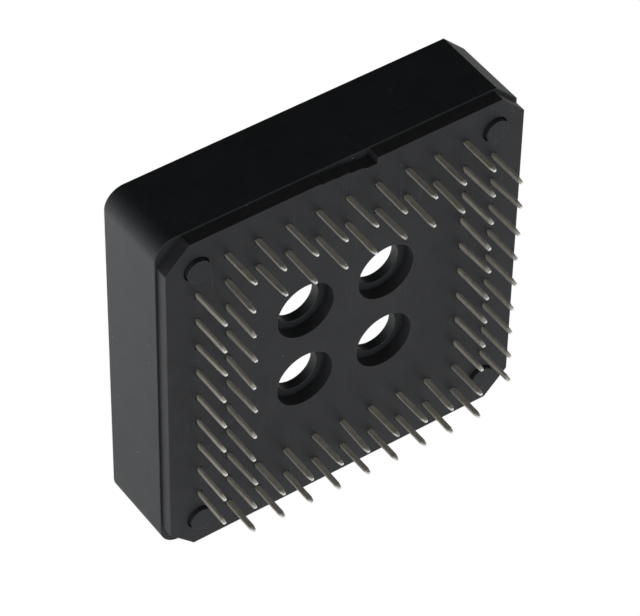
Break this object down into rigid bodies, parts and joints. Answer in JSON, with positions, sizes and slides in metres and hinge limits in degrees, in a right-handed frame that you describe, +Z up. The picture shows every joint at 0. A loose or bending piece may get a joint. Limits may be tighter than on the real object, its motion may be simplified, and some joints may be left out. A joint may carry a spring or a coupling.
{
  "type": "ic socket",
  "caption": "Square through-hole socket for a leaded plastic chip carrier: moulded housing with a comb of sprung contacts, base plate and two rows of solder tails per side.",
  "frame": {"origin": "centre of the socket on the circuit board's top face, where the four posts stand; the tails reach below it", "axes": "+Z up, the way the chip comes out; the side with the first contact faces -Y and the cut corner is at +X -Y"},
  "size_m": [0.0308, 0.0308, 0.011],
  "materials": {
    "housing_plastic": "fine matt moulded black thermoplastic",
    "plate_plastic": "fine matt moulded black thermoplastic",
    "tinned_contact": "matt tin plate on phosphor bronze strip"
  },
  "bodies": {
    "root": {"housing": "housing_plastic", "base_plate": "plate_plastic", "outer_contact_front_1": "tinned_contact", "outer_contact_front_2": "tinned_contact", "outer_contact_front_3": "tinned_contact", "outer_contact_front_4": "tinned_contact", "outer_contact_front_5": "tinned_contact", "outer_contact_front_6": "tinned_contact", "outer_contact_front_7": "tinned_contact", "outer_contact_front_8": "tinned_contact", "outer_contact_front_9": "tinned_contact", "outer_contact_right_1": "tinned_contact", "outer_contact_right_2": "tinned_contact", "outer_contact_right_3": "tinned_contact", "outer_contact_right_4": "tinned_contact", "outer_contact_right_5": "tinned_contact", "outer_contact_right_6": "tinned_contact", "outer_contact_right_7": "tinned_contact", "outer_contact_right_8": "tinned_contact", "outer_contact_right_9": "tinned_contact", "outer_contact_back_1": "tinned_contact", "outer_contact_back_2": "tinned_contact", "outer_contact_back_3": "tinned_contact", "outer_contact_back_4": "tinned_contact", "outer_contact_back_5": "tinned_contact", "outer_contact_back_6": "tinned_contact", "outer_contact_back_7": "tinned_contact", "outer_contact_back_8": "tinned_contact", "outer_contact_back_9": "tinned_contact", "outer_contact_left_1": "tinned_contact", "outer_contact_left_2": "tinned_contact", "outer_contact_left_3": "tinned_contact", "outer_contact_left_4": "tinned_contact", "outer_contact_left_5": "tinned_contact", "outer_contact_left_6": "tinned_contact", "outer_contact_left_7": "tinned_contact", "outer_contact_left_8": "tinned_contact", "outer_contact_left_9": "tinned_contact", "inner_contacts_front_1": "tinned_contact", "inner_contacts_front_2": "tinned_contact", "inner_contacts_front_3": "tinned_contact", "inner_contacts_front_4": "tinned_contact", "inner_contacts_right_1": "tinned_contact", "inner_contacts_right_2": "tinned_contact", "inner_contacts_right_3": "tinned_contact", "inner_contacts_right_4": "tinned_contact", "inner_contacts_back_1": "tinned_contact", "inner_contacts_back_2": "tinned_contact", "inner_contacts_back_3": "tinned_contact", "inner_contacts_back_4": "tinned_contact", "inner_contacts_left_1": "tinned_contact", "inner_contacts_left_2": "tinned_contact", "inner_contacts_left_3": "tinned_contact", "inner_contacts_left_4": "tinned_contact"}
  },
  "joints": []
}
